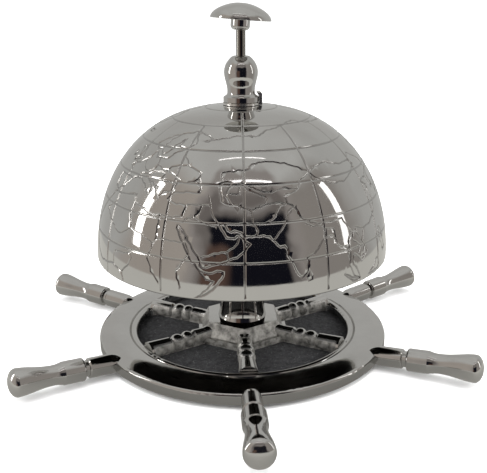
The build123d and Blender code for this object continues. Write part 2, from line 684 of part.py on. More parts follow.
with BuildPart() as striker_bracket:
    # Saddle, a strip curved to the column's back
    with BuildSketch(Plane.XY.offset(BRACKET_LOW_Z)):
        Circle(SADDLE_R)
        Circle(COLUMN_R, mode=Mode.SUBTRACT)
        with Locations((0, SADDLE_R / 2)):
            Rectangle(2 * BRACKET_HALF_WIDTH, SADDLE_R, mode=Mode.INTERSECT)
    extrude(amount=BRACKET_HIGH_Z - BRACKET_LOW_Z)
    # Two ears, which start inside the saddle's thickness
    with BuildSketch(Plane.YZ.offset(-BRACKET_HALF_WIDTH)):
        with Locations(((EAR_START_R + PIVOT_Y) / 2, PIVOT_Z)):
            Rectangle(PIVOT_Y - EAR_START_R, 2 * EAR_R)
        with Locations((PIVOT_Y, PIVOT_Z)):
            Circle(EAR_R)
    extrude(amount=2 * BRACKET_HALF_WIDTH)
    # The lever's way through, the pin's holes and the screws' holes
    with BuildSketch(Plane.XZ.offset(-PIVOT_Y - EAR_R)):
        with Locations((0, (CHAMBER_FLOOR_Z + LEVER_SLOT_TOP_Z) / 2)):
            Rectangle(2 * LEVER_SLOT_HALF_WIDTH, LEVER_SLOT_TOP_Z - CHAMBER_FLOOR_Z)
    extrude(amount=PIVOT_Y + EAR_R, mode=Mode.SUBTRACT)
    with BuildSketch(Plane.YZ.offset(-BRACKET_HALF_WIDTH)):
        with Locations((PIVOT_Y, PIVOT_Z)):
            Circle(PIN_R)
    extrude(amount=2 * BRACKET_HALF_WIDTH, mode=Mode.SUBTRACT)
    with BuildSketch(Plane.XZ.offset(-SADDLE_R)):
        for height in BRACKET_SCREW_HEIGHTS:
            with Locations((0, height)):
                Circle(BRACKET_SCREW_R + CLEARANCE)
    extrude(amount=SADDLE_R, mode=Mode.SUBTRACT)
finish(striker_bracket, "striker_bracket")

with BuildPart() as bracket_screws:
    for height in BRACKET_SCREW_HEIGHTS:
        with BuildSketch(Plane.XZ.offset(-SADDLE_R)):
            with Locations((0, height)):
                Circle(BRACKET_SCREW_R)
        extrude(amount=SADDLE_R - BRACKET_SCREW_TIP_Y)
        with BuildSketch(Plane.XZ.offset(-SADDLE_R - BRACKET_SCREW_HEAD_THICK)):
            with Locations((0, height)):
                Circle(BRACKET_SCREW_HEAD_R)
        extrude(amount=BRACKET_SCREW_HEAD_THICK)
        with BuildSketch(Plane.XZ.offset(-SADDLE_R - BRACKET_SCREW_HEAD_THICK)):
            with Locations((0, height)):
                Rectangle(3 * BRACKET_SCREW_HEAD_R, SLOT_WIDTH / 2)
        extrude(amount=SLOT_DEPTH, mode=Mode.SUBTRACT)
finish(bracket_screws, "bracket_screws")

with BuildPart() as striker_lever:
    # A bent strip: inner arm under the rod, sloping outer arm, upright tab for the hammer
    with BuildSketch(Plane.YZ.offset(-LEVER_HALF_WIDTH)):
        with BuildLine() as strip:
            FilletPolyline(
                (LEVER_TIP_Y, LEVER_TOP_Z - LEVER_THICK / 2),
                (LEVER_KNEE_Y, LEVER_TOP_Z - LEVER_THICK / 2),
                (LEVER_TAB_Y, LEVER_TAB_TOP_Z),
                (LEVER_TAB_Y, LEVER_TAB_FOOT_Z),
                radius=LEVER_BEND_R,
            )
        trace(strip.line, LEVER_THICK)
        with Locations((PIVOT_Y, PIVOT_Z)):
            Circle(LEVER_EYE_R)
            Circle(PIN_R + RUNNING_GAP, mode=Mode.SUBTRACT)
    extrude(amount=2 * LEVER_HALF_WIDTH)
    with BuildSketch(Plane.XZ.offset(-LEVER_TAB_Y - LEVER_THICK)):
        with Locations((0, HAMMER_Z)):
            Circle(SHANK_R)
    extrude(amount=2 * LEVER_THICK, mode=Mode.SUBTRACT)
finish(striker_lever, "striker_lever")

HAMMER_AXIS = Axis((0, 0, HAMMER_Z), (0, 1, 0))
HAMMER_BACK_Y = LEVER_TAB_Y + LEVER_THICK / 2
SHANK_END_Y = LEVER_TAB_Y - LEVER_THICK / 2 - HAMMER_NUT_THICK - SHANK_PAST_NUT
with BuildPart() as hammer:
    with BuildSketch(Plane.YZ):
        with BuildLine():
            Polyline(
                (HAMMER_NOSE_Y, HAMMER_Z + TIP_FLAT_R),
                (HAMMER_NOSE_Y, HAMMER_Z),
                (SHANK_END_Y, HAMMER_Z),
                (SHANK_END_Y, HAMMER_Z + SHANK_R),
                (HAMMER_BACK_Y, HAMMER_Z + SHANK_R),
                (HAMMER_BACK_Y, HAMMER_Z + HAMMER_R - EDGE_CHAMFER),
                (HAMMER_BACK_Y + EDGE_CHAMFER, HAMMER_Z + HAMMER_R),
                (HAMMER_NOSE_Y - HAMMER_NOSE_LENGTH, HAMMER_Z + HAMMER_R),
            )
            Spline(
                (HAMMER_NOSE_Y - HAMMER_NOSE_LENGTH, HAMMER_Z + HAMMER_R),
                (HAMMER_SHOULDER_Y, HAMMER_Z + HAMMER_SHOULDER_RADIUS),
                (HAMMER_NOSE_Y, HAMMER_Z + TIP_FLAT_R),
                tangents=[(1, 0), (0, -1)],
            )
        make_face()
    revolve(axis=HAMMER_AXIS)
finish(hammer, "hammer")

with BuildPart() as hammer_nut:
    with BuildSketch(Plane.XZ.offset(-LEVER_TAB_Y + LEVER_THICK / 2)):
        with Locations((0, HAMMER_Z)):
            RegularPolygon(HAMMER_NUT_FLAT_R, 6, major_radius=False)
            Circle(SHANK_R, mode=Mode.SUBTRACT)
    extrude(amount=HAMMER_NUT_THICK)
finish(hammer_nut, "hammer_nut")

PIN_CLIP_X = BRACKET_HALF_WIDTH + STOP_GAP
PIN_END_X = PIN_CLIP_X + PIN_CLIP_THICK + PIN_PAST_CLIP
PIN_HEAD_X = -BRACKET_HALF_WIDTH - PIN_HEAD_THICK
PIN_PLANE = Plane(origin=(0, PIVOT_Y, PIVOT_Z), x_dir=(1, 0, 0), z_dir=(0, -1, 0))
with BuildPart() as pivot_pin:
    with BuildSketch(PIN_PLANE):
        with BuildLine():
            Polyline(
                (PIN_HEAD_X, 0),
                (PIN_HEAD_X, PIN_HEAD_R - PIN_HEAD_CHAMFER),
                (PIN_HEAD_X + PIN_HEAD_CHAMFER, PIN_HEAD_R),
                (-BRACKET_HALF_WIDTH, PIN_HEAD_R),
                (-BRACKET_HALF_WIDTH, PIN_R),
                (PIN_CLIP_X, PIN_R),
                (PIN_CLIP_X, PIN_GROOVE_R),
                (PIN_CLIP_X + PIN_CLIP_THICK, PIN_GROOVE_R),
                (PIN_CLIP_X + PIN_CLIP_THICK, PIN_R),
                (PIN_END_X, PIN_R),
                (PIN_END_X, 0),
                close=True,
            )
        make_face()
    revolve(axis=Axis(PIN_PLANE.origin, PIN_PLANE.x_dir))
finish(pivot_pin, "pivot_pin")

with BuildPart() as pivot_clip:
    with BuildSketch(Plane(origin=(PIN_CLIP_X, PIVOT_Y, PIVOT_Z), x_dir=(0, 1, 0), z_dir=(1, 0, 0))):
        open_ring(PIN_CLIP_R, PIN_GROOVE_R, CLIP_MOUTH * PIN_GROOVE_R)
    extrude(amount=PIN_CLIP_THICK)
finish(pivot_clip, "pivot_clip")

# ---------------------------------------------------------------- base screw

with BuildPart() as lock_washer:
    with BuildSketch(Plane.XY.offset(SCREW_SEAT_Z - LOCK_WASHER_THICK)):
        open_ring(BASE_SCREW_HEAD_R, BASE_SCREW_R + CLEARANCE, LOCK_WASHER_MOUTH)
    extrude(amount=LOCK_WASHER_THICK)
finish(lock_washer, "lock_washer")

with BuildPart() as base_screw:
    head_top = SCREW_SEAT_Z - LOCK_WASHER_THICK
    with BuildSketch(Plane.XY.offset(head_top - BASE_SCREW_HEAD_THICK)):
        Circle(BASE_SCREW_HEAD_R)
    extrude(amount=BASE_SCREW_HEAD_THICK)
    fillet(base_screw.edges().group_by(Axis.Z)[0], BASE_SCREW_HEAD_ROUND)
    with BuildSketch(Plane.XY.offset(head_top)):
        Circle(BASE_SCREW_R)
    extrude(amount=HUB_TOP_Z - SPIGOT_LENGTH + BASE_SCREW_REACH - BASE_SCREW_TIP_GAP - head_top)
    with BuildSketch(Plane.XY.offset(head_top - BASE_SCREW_HEAD_THICK)):
        Rectangle(3 * BASE_SCREW_HEAD_R, SLOT_WIDTH)
    extrude(amount=SLOT_DEPTH, mode=Mode.SUBTRACT)
finish(base_screw, "base_screw")
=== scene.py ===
import math

import bpy
import numpy as np
from mathutils import Euler, Matrix, Vector, geometry, kdtree


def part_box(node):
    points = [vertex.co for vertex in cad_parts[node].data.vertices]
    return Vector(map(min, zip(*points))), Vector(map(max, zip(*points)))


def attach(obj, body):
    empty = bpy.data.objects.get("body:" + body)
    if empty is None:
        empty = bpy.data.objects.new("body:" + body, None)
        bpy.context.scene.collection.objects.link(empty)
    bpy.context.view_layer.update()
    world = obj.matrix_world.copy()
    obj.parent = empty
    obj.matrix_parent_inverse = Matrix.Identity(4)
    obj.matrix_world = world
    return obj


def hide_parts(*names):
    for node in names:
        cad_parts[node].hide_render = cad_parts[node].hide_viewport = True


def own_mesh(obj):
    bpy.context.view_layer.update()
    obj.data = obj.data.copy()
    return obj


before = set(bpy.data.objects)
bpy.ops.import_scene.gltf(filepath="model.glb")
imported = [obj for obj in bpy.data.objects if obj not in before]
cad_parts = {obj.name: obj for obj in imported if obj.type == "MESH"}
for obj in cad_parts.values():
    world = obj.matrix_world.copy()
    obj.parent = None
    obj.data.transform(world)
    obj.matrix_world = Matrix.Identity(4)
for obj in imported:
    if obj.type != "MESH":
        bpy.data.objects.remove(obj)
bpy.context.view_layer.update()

MM = 0.001
rng = np.random.RandomState(11)

# ---------------------------------------------------------------- camera

CAMERA_AZIMUTH = math.radians(-3.0)
CAMERA_ELEVATION = math.radians(17.77)
CAMERA_DISTANCE = 262.0 * MM
CAMERA_TARGET = Vector((0, 0, 39.1 * MM))
CAMERA_ROLL = math.radians(-0.3)
CAMERA_SHIFT = 0.0035
CAMERA_LENS = 54.23


def make_camera():
    """The camera at the object's usual viewing angle, slightly left of the front handle."""
    data = bpy.data.cameras.new("camera")
    data.lens = CAMERA_LENS
    data.sensor_width = 36.0
    data.clip_start = 0.01
    camera = bpy.data.objects.new("camera", data)
    bpy.context.scene.collection.objects.link(camera)
    away = Vector((
        math.sin(CAMERA_AZIMUTH) * math.cos(CAMERA_ELEVATION),
        -math.cos(CAMERA_AZIMUTH) * math.cos(CAMERA_ELEVATION),
        math.sin(CAMERA_ELEVATION),
    ))
    camera.location = CAMERA_TARGET + CAMERA_DISTANCE * away
    turn = Euler((math.pi / 2 - CAMERA_ELEVATION, 0, CAMERA_AZIMUTH), "XYZ").to_matrix()
    camera.rotation_euler = (turn @ Matrix.Rotation(CAMERA_ROLL, 3, "Z")).to_euler()
    data.shift_x = CAMERA_SHIFT
    bpy.context.scene.camera = camera


# ---------------------------------------------------------------- small helpers


def link(name, mesh):
    """A new object for a mesh."""
    piece = bpy.data.objects.new(name, mesh)
    bpy.context.scene.collection.objects.link(piece)
    return piece


def smooth(mesh):
    """Shade every face smooth."""
    mesh.polygons.foreach_set("use_smooth", [True] * len(mesh.polygons))


def hidden_card(name, corners, faces):
    """A flat card that only reflections see."""
    mesh = bpy.data.meshes.new(name)
    mesh.from_pydata([Vector(c) for c in corners], [], faces)
    card = link(name, mesh)
    card.visible_camera = False
    card.visible_diffuse = False
    card.visible_shadow = False
    return card


class Nodes:
    """A short way to write a shader's nodes."""

    def __init__(self, tree):
        self.tree = tree
        tree.nodes.clear()

    def add(self, kind, values=None, **settings):
        """A node of that kind, its settings, and its inputs given as numbers or as other nodes' outputs."""
        node = self.tree.nodes.new(kind)
        for key, value in settings.items():
            setattr(node, key, value)
        for key, value in (values or {}).items():
            socket = node.inputs[key]
            if isinstance(value, bpy.types.NodeSocket):
                self.tree.links.new(value, socket)
            else:
                socket.default_value = value
        return node

    def math(self, operation, a, b=0.0, clamp=False):
        return self.add("ShaderNodeMath", {0: a, 1: b}, operation=operation, use_clamp=clamp).outputs[0]

    def noise(self, vector, scale, detail=3.0, roughness=0.5):
        values = {"Vector": vector, "Scale": scale, "Detail": detail, "Roughness": roughness}
        return self.add("ShaderNodeTexNoise", values).outputs["Fac"]

    def ramp(self, value, low, high, to_low, to_high, smoothly=False):
        kind = "SMOOTHSTEP" if smoothly else "LINEAR"
        values = {0: value, 1: low, 2: high, 3: to_low, 4: to_high}
        return self.add("ShaderNodeMapRange", values, interpolation_type=kind).outputs[0]

    def mix(self, factor, a, b):
        return self.add("ShaderNodeMixRGB", {"Fac": factor, "Color1": a, "Color2": b}).outputs[0]


# ---------------------------------------------------------------- materials


def new_material(name):
    material = bpy.data.materials.new(name)
    material.use_nodes = True
    return material, Nodes(material.node_tree)


def polished_metal(name, color, roughness, waviness=0.0, grime=0.0, groove=False, cast=False):
    """Polished plated metal: fine hairlines, a little cloudiness, waviness from casting, tarnish in grooves.
    A casting keeps its rough skin on the sides of its spokes and hub, where no wheel polishes it."""
    material, nodes = new_material(name)
    place = nodes.add("ShaderNodeTexCoord").outputs["Object"]
    cloud = nodes.noise(place, 120.0, 4.0)
    fine = nodes.noise(place, 1400.0, 2.0)
    stain = nodes.ramp(nodes.noise(place, 45.0, 5.0, 0.65), 0.45, 0.75, 0.0, 1.0)
    rough = nodes.ramp(cloud, 0.35, 0.7, roughness * 0.6, roughness * 1.6)
    rough = nodes.math("ADD", rough, nodes.math("MULTIPLY", stain, grime * 0.12))
    dark = tuple(0.55 * c for c in color) + (1.0,)
    tint = nodes.mix(nodes.math("MULTIPLY", stain, grime), color + (1.0,), dark)
    if groove:
        depth = nodes.add("ShaderNodeAttribute", attribute_name="groove").outputs["Fac"]
        tint = nodes.mix(nodes.ramp(depth, 0.3, 1.0, 0.0, 0.45), tint, (0.16, 0.15, 0.14, 1.0))
        rough = nodes.math("ADD", rough, nodes.math("MULTIPLY", depth, 0.12))
    wave = nodes.add("ShaderNodeBump", {
        "Strength": 1.0,
        "Distance": waviness,
        "Height": nodes.noise(place, 160.0, 2.0),
    }).outputs[0]
    metallic = 1.0
    if cast:
        level = nodes.add("ShaderNodeVectorMath", {0: place, 1: (1, 1, 0)}, operation="MULTIPLY").outputs[0]
        reach = nodes.add("ShaderNodeVectorMath", {0: level}, operation="LENGTH").outputs["Value"]
        normal = nodes.add("ShaderNodeNewGeometry").outputs["Normal"]
        upward = nodes.add("ShaderNodeSeparateXYZ", {0: normal}).outputs["Z"]
        within_ring = nodes.ramp(reach, 0.0372, 0.0380, 1.0, 0.0)
        skin = nodes.math("MULTIPLY", within_ring, nodes.ramp(upward, 0.45, 0.8, 1.0, 0.0))
        grain = nodes.noise(place, 420.0, 5.0, 0.6)
        mottled = nodes.ramp(grain, 0.34, 0.66, 0.0, 1.0)
        shade = nodes.mix(mottled, (0.10, 0.096, 0.088, 1), (0.46, 0.445, 0.41, 1))
        tint = nodes.mix(skin, tint, shade)
        rough = nodes.math("ADD", rough, nodes.math("MULTIPLY", skin, 0.35))
        metallic = nodes.math("SUBTRACT", 1.0, nodes.math("MULTIPLY", skin, 0.6))
        wave = nodes.add("ShaderNodeBump", {
            "Strength": 0.6,
            "Distance": 0.0001,
            "Height": nodes.math("MULTIPLY", grain, skin),
            "Normal": wave,
        }).outputs[0]
    scratch = nodes.add("ShaderNodeBump", {
        "Strength": 0.08,
        "Distance": 0.00002,
        "Height": fine,
        "Normal": wave,
    }).outputs[0]
    shader = nodes.add("ShaderNodeBsdfPrincipled", {
        "Base Color": tint,
        "Metallic": metallic,
        "Roughness": rough,
        "Normal": scratch,
    })
    nodes.add("ShaderNodeOutputMaterial", {"Surface": shader.outputs[0]})
    return material


def felt_material():
    """Dark pressed felt: matted fibres, small clumps and pale specks of lint."""
    material, nodes = new_material("felt")
    place = nodes.add("ShaderNodeTexCoord").outputs["Object"]
    fibres = nodes.noise(place, 1500.0, 6.0, 0.75)
    clumps = nodes.noise(place, 420.0, 4.0, 0.6)
    specks = nodes.ramp(nodes.noise(place, 2400.0, 1.0), 0.66, 0.74, 0.0, 0.5)
    tone = nodes.math("ADD", nodes.math("MULTIPLY", fibres, 0.65), nodes.math("MULTIPLY", clumps, 0.35))
    pale = nodes.ramp(tone, 0.4, 0.62, 0.0, 1.0)
    color = nodes.mix(pale, (0.004, 0.004, 0.005, 1), (0.040, 0.040, 0.043, 1))
    color = nodes.mix(specks, color, (0.30, 0.30, 0.30, 1))
    bump = nodes.add("ShaderNodeBump", {"Strength": 0.9, "Distance": 0.0003, "Height": tone}).outputs[0]
    shader = nodes.add("ShaderNodeBsdfPrincipled", {
        "Base Color": color,
        "Roughness": 0.95,
        "Sheen Weight": 0.12,
        "Sheen Roughness": 0.5,
        "Specular IOR Level": 0.15,
        "Normal": bump,
    })
    nodes.add("ShaderNodeOutputMaterial", {"Surface": shader.outputs[0]})
    return material


def fibre_material():
    """Red-brown vulcanised fibre board."""
    material, nodes = new_material("fibre")
    place = nodes.add("ShaderNodeTexCoord").outputs["Object"]
    grain = nodes.noise(place, 1500.0, 4.0)
    color = nodes.mix(nodes.ramp(grain, 0.3, 0.7, 0.0, 1.0), (0.16, 0.05, 0.03, 1), (0.24, 0.09, 0.055, 1))
    shader = nodes.add("ShaderNodeBsdfPrincipled", {"Base Color": color, "Roughness": 0.6})
    nodes.add("ShaderNodeOutputMaterial", {"Surface": shader.outputs[0]})
    return material


def plain_material(name, color, roughness=0.6, emission=0.0):
    """Matt or glowing paint for the floor and the cards."""
    material, nodes = new_material(name)
    if emission:
        shader = nodes.add("ShaderNodeEmission", {"Color": color + (1.0,), "Strength": emission})
    else:
        shader = nodes.add("ShaderNodeBsdfPrincipled", {
            "Base Color": color + (1.0,),
            "Roughness": roughness,
            "Specular IOR Level": 0.0,
        })
    nodes.add("ShaderNodeOutputMaterial", {"Surface": shader.outputs[0]})
    return material


NICKEL = (0.59, 0.583, 0.565)
nickel_bell = polished_metal("nickel_bell", NICKEL, 0.045, waviness=0.000006, grime=0.08, groove=True)
# The bell's inside is made almost black: painted shade, for the dark that fills the hollow under the bell.
bell_inside_painted_dark = polished_metal("bell_inside_painted_dark", (0.055, 0.051, 0.047), 0.4, waviness=0.00003, grime=0.5)
nickel_cast = polished_metal("nickel_cast", NICKEL, 0.075, waviness=0.00002, grime=0.22)
nickel_wheel = polished_metal("nickel_wheel", NICKEL, 0.075, waviness=0.00002, grime=0.22, cast=True)
nickel_satin = polished_metal("nickel_satin", (0.74, 0.73, 0.70), 0.28, waviness=0.00001, grime=0.1)
rod_steel = polished_metal("rod_steel", (0.27, 0.26, 0.235), 0.09, waviness=0.000006, grime=0.3)
nickel_turned = polished_metal("nickel_turned", NICKEL, 0.05, waviness=0.000008, grime=0.12)
steel = polished_metal("steel", (0.50, 0.50, 0.51), 0.18, waviness=0.000004, grime=0.15)
brass = polished_metal("brass", (0.72, 0.52, 0.25), 0.2, waviness=0.000004, grime=0.3)
felt = felt_material()
fibre = fibre_material()

NODE_MATERIALS = {
    "wheel_base": nickel_wheel,
    "column": nickel_turned,
    "top_bush": nickel_turned,
    "tab_washer": nickel_satin,
    "finial_nut": nickel_turned,
    "push_knob": nickel_turned,
    "plunger_rod": rod_steel,
    "hammer": brass,
    "spring_seat": brass,
    "fibre_washer": fibre,
}


def dress_nodes():
    """Give every CAD node its material."""
    for name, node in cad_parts.items():
        material = NODE_MATERIALS.get(name, steel)
        if name.startswith("handle"):
            material = nickel_cast
        node.data.materials.clear()
        node.data.materials.append(material)


# ---------------------------------------------------------------- bell, with its engraved map

BELL_LOW, BELL_HIGH = (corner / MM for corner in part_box("dome"))
LIP_Z = BELL_LOW.z
BELL_R = BELL_HIGH.x
BELL_RISE = BELL_HIGH.z - BELL_LOW.z
BELL_WALL = 2.2
R_POWER = 0.80
Z_POWER = 0.98
CROWN_FLAT_R = 6.5
HOLE_R = 3.1
LIP_ROUND = 0.6
AROUND = 144  # points round each of the bell's circles

# Engraving
FRONT_MERIDIAN = -92.0  # degrees from +X, the meridian that faces the viewer
MERIDIANS = 12
DEGREES_OF_LATITUDE = 11.6 / 15.0  # mm along the profile, the equator being the lip
PARALLELS = (15, 30, 45, 60, 75, 90)
FRONT_LONGITUDE = 58.0
GRID_HALF_WIDTH = 0.52
COAST_HALF_WIDTH = 0.46
BORDER_HALF_WIDTH = 0.36
GROOVE_DEPTH = 0.32
LOWEST_CUT = 1.2  # mm from the lip
GRID_STEP = 1.6  # mm between points along a grid line
COAST_STEP = 1.1
FEWEST_STROKES = 6
COAST_WOBBLE = 0.16
FILL_STEP = 2.3  # mm between the points of the plain surface
CLEAR_OF_CUTS = 1.6  # half widths that the plain points keep from a cut
FINE_STEPS = 14  # points between two of a cut's own, when distances to it are measured
CLEAR_OF_LIP = 0.05  # mm that every cut keeps from the lip's rounding
CLEAR_OF_HOLE = 0.4
FOLLOWS_CUT = 0.97  # half widths from a cut's centre within which the shading follows the cut
WALL_LINE = 0.55  # half widths, where a line of points runs along each wall of a cut

# Lip and inside
LIP_STEPS = 4  # bands of faces on each of the lip's two roundings
INSIDE_RINGS = 40
TINY_EDGE = 0.02

# Coastlines and borders north of the equator, longitude and latitude in degrees, drawn simply.
# Longitudes past 180 run on.
AFRICA_ASIA_EUROPE = (
    (42, 0), (46, 3), (51, 10), (51, 12), (44, 11), (42, 13), (39, 16), (37, 20), (35, 24), (33, 28),
    (34, 29), (36, 26), (39, 21.5), (42, 17), (43.5, 12.8), (46, 13.5), (52, 16), (57, 18.5), (60, 22.5),
    (57, 24), (56.3, 26), (54, 24.3), (51.5, 24.5), (51, 26), (50, 27.5), (48.5, 30), (50.5, 29.5),
    (52.5, 27.5), (57, 27), (58, 25.3), (66.5, 25.2), (68, 23.5), (70, 21), (72.5, 21), (73, 17),
    (74.5, 14), (76.3, 10), (77.5, 7.5), (79.5, 10), (80.2, 15.5), (83, 17), (87, 21.5), (91, 22.5),
    (94, 17), (97, 17), (98.6, 12), (98.4, 8), (101, 3), (104, 1.3), (103, 5), (100.2, 9), (100, 13),
    (102.5, 12), (105, 8.8), (109, 12), (106, 18), (108, 21.5), (114, 22.5), (119, 25.5), (122, 30.5),
    (120, 35), (122.5, 37), (118, 39), (121, 40.5), (124.5, 40), (126.5, 34.5), (129.3, 35.5),
    (127.6, 39.8), (131, 42.8), (136, 44), (140.5, 50), (137, 54), (142, 59), (155, 59.3), (157, 51.3),
    (162.5, 57), (164, 60), (178, 62.5), (189, 66), (180, 69), (160, 70), (140, 72.5), (114, 73.8),
    (104, 77.5), (87, 74), (73, 71.5), (68, 68.5), (54, 68.5), (44, 66.5), (35, 64.5), (40, 67), (28, 71),
    (14, 67), (5, 61.5), (7, 58.2), (10.5, 59.2), (13, 56), (17, 57), (18.5, 60.5), (23, 65.5), (21, 61),
    (28, 60.2), (22, 57.5), (19, 54.5), (11, 54.2), (9, 57.3), (8, 54), (2, 50.5), (-4.7, 48.3),
    (-1.3, 45.5), (-1.8, 43.4), (-9, 43.2), (-9, 37.5), (-5.5, 36.2), (0, 39.5), (4, 43.3), (9, 44.2),
    (12.5, 41.5), (16, 38.3), (18.3, 40), (13, 45), (19.3, 42), (22.5, 36.8), (23.5, 40.3), (28.5, 41.3),
    (29, 45), (34, 45), (39, 47), (41, 41.8), (30, 41.2), (27, 38), (31, 36.5), (36, 36.5), (34.5, 31.5),
    (30, 31.3), (20, 31.2), (11, 33.8), (10.5, 37), (-2, 35.2), (-6, 35.6), (-10, 31), (-13, 27.5),
    (-17, 21), (-17, 14.5), (-13, 8.5), (-8, 4.6), (3, 6.2), (8.5, 4.3), (9.5, 0),
)
AMERICAS = (
    (-80, 0), (-77.5, 6), (-80, 7.5), (-85, 10), (-91, 14), (-100, 17), (-106, 21), (-112, 30.5),
    (-110, 23.5), (-117, 33), (-124, 40), (-124, 48), (-133, 57), (-145, 60.3), (-157, 57), (-164, 54.7),
    (-158, 58.7), (-165, 63), (-167, 66), (-156, 71.3), (-128, 70), (-105, 68), (-94, 71.5), (-84, 69),
    (-87, 65), (-94, 60), (-86, 55.5), (-80, 51.8), (-78.5, 58), (-76, 62.3), (-66, 59), (-60, 55),
    (-57, 51.5), (-66, 49.8), (-61, 46), (-66, 44), (-71, 42), (-75.5, 36), (-81, 31.5), (-80.3, 25.5),
    (-83, 29.5), (-90, 29.5), (-97.3, 27), (-96, 19), (-90.5, 21), (-87.5, 20.5), (-88.5, 16),
    (-83.5, 14.5), (-82, 9.5), (-77, 8.8), (-72, 12), (-62, 10.5), (-52, 4.5), (-50, 0),
)
ISLANDS = (
    ((80, 6.6), (79.6, 8.6), (80.4, 10.4), (81.6, 8.4), (81.2, 6.4)),
    ((-44, 60), (-53, 66), (-58, 75), (-70, 77), (-58, 81.5), (-30, 83), (-19, 78), (-24, 70.5), (-38, 66)),
    ((130.5, 31.5), (130, 33.8), (136, 36.5), (140, 41), (142, 39.5), (140.5, 35.3), (135, 33.5)),
    ((140, 42), (142, 45.3), (145, 43.5), (141.5, 41.8)),
    ((-5.5, 50.2), (-3, 53.8), (-5.5, 57.8), (-2, 57.8), (1.6, 52.6)),
    ((-9.5, 52), (-8, 55), (-6, 53)),
    ((-23, 64.2), (-22, 66), (-15, 66), (-15.5, 64.5)),
    ((120.5, 18.3), (122.2, 18.3), (124, 13), (126, 8), (123.5, 7.5), (120.5, 14)),
    ((-85, 22), (-80, 23.2), (-74.5, 20.2), (-78, 20.5)),
    ((95.5, 5.6), (100, 3), (103.5, 0.6), (99.5, 0.6)),
    ((109.3, 1), (113, 3.5), (116.8, 7), (118.8, 5), (117.6, 1)),
    ((48, 45), (51, 46.8), (53, 45), (50.5, 41), (53.5, 37.2), (50, 37.8), (48.8, 41.5)),
)
BORDERS = (
    ((48.5, 30), (46, 33), (45.5, 36), (44.5, 39.5)),
    ((44.5, 37), (38, 37), (36, 36.5)),
    ((42, 37), (41, 34), (39, 32), (44, 29.5), (47.5, 29)),
    ((35, 29.5), (37, 31.5), (39, 32)),
    ((43, 17), (48, 18.5), (52, 19.5), (52.5, 16.5)),
    ((52, 19.5), (55.5, 22.5), (56, 24.5)),
    ((61.5, 25.2), (63, 27.5), (61, 30), (61, 35), (54, 37.3)),
    ((61, 35), (67, 37.3), (71, 37.5), (74.5, 37)),
    ((61, 30), (66, 30), (69.5, 32.5), (71, 36), (74.5, 37)),
    ((68, 23.5), (71, 27), (74, 31), (74, 34), (77.5, 35.5)),
    ((74.5, 37), (77.5, 35.5), (79, 31.5), (83, 29), (88, 27.8), (92, 27.8), (97, 28.2)),
    ((80.5, 29), (84, 27), (88, 26.5), (88, 27.8)),
    ((88.5, 22), (88.5, 26), (92, 25), (92.3, 21.5)),
    ((97, 28.2), (98.5, 25), (101, 21.5), (98, 19), (98.8, 12)),
    ((101, 21.5), (103, 22.5), (106, 22.5), (108, 21.5)),
    ((103, 22.5), (105, 19), (107.5, 15), (106, 11), (104.5, 10.5)),
    ((101, 21.5), (101, 18), (105, 16), (103, 12.5)),
    ((74.5, 37), (74, 40), (80, 42.5), (82.5, 46), (88, 48.5)),
    ((88, 48.5), (91, 45), (97, 42.8), (105, 42), (112, 44), (120, 47.5), (117, 49.5)),
    ((88, 48.5), (92, 50.7), (99, 52), (107, 49.8), (117, 49.5)),
    ((117, 49.5), (121, 53), (127, 50), (131, 48), (131, 43)),
    ((124.5, 40), (128, 42), (131, 42.8)),
    ((49, 46.5), (48, 50), (55, 51), (61, 51.5), (61, 54), (70, 55), (77, 53.5), (83, 51), (88, 49)),
    ((53, 41.5), (56, 41.3), (56, 45.5), (61, 44), (66, 42), (70, 42), (74, 43), (80, 42.5)),
    ((61, 35), (66, 37.5), (67, 39.5), (61, 42.5), (56, 45.5)),
    ((28, 60.2), (28, 57), (31, 55), (31.5, 52.5), (35, 51), (40, 49.5), (38.5, 47)),
    ((31.5, 52.5), (24, 51.5), (22.5, 49), (26, 48), (30, 46)),
    ((14.3, 54), (15, 51), (19, 49.5), (22.5, 49)),
    ((6, 53), (6, 50), (8, 48), (10, 47.5), (15, 49), (15, 51)),
    ((7.5, 44), (7, 46), (13, 46.5), (16.5, 48), (22, 48), (21, 45), (28, 44)),
    ((-1.8, 43.4), (3, 42.4)),
    ((-8.5, 42), (-7, 37.2)),
    ((28, 60.5), (31, 63), (29, 68), (31, 69.5)),
    ((11, 59), (12.5, 63), (18, 68.5), (25, 69)),
    ((25, 31.5), (25, 22), (37, 22)),
    ((11, 33), (10, 29), (12, 23.5), (16, 23), (24, 19.5), (25, 22)),
    ((37, 22), (38.5, 18), (36.5, 14.5), (34, 10.5), (35.5, 5)),
    ((43, 11), (45, 8.5), (48, 8), (42, 1.5)),
    ((24, 19.5), (22, 13), (24, 9), (27, 5)),
    ((12, 23.5), (5, 19.5), (-5, 25), (-8.5, 27.5), (-2, 32), (-2, 35)),
    ((3, 6.3), (3.5, 12), (13.5, 13.5), (14, 11), (9, 5)),
    ((-123, 49), (-95, 49), (-84, 46.5), (-79, 43), (-75, 45), (-69, 47.3), (-67, 45)),
    ((-141, 69.6), (-141, 60.3), (-131, 55.5)),
    ((-117, 32.5), (-111, 31.3), (-106.5, 31.8), (-103, 29), (-99, 26.5), (-97.3, 26)),
    ((-71.5, 12), (-72.5, 7.5), (-67.5, 6), (-67, 1.5)),
)


def profile_table(radius, rise, low, flat):
    """The profile from height low up to where it has radius flat: radius, height, outward normal."""
    angle = np.linspace(0, math.pi / 2 - 1e-4, 6001)
    r = radius * np.cos(angle) ** R_POWER
    z = LIP_Z + rise * np.sin(angle) ** Z_POWER
    kept = (z >= low) & (r >= flat)
    r, z = r[kept], z[kept]
    dr, dz = np.gradient(r), np.gradient(z)
    length = np.hypot(dr, dz)
    return r, z, dz / length, -dr / length


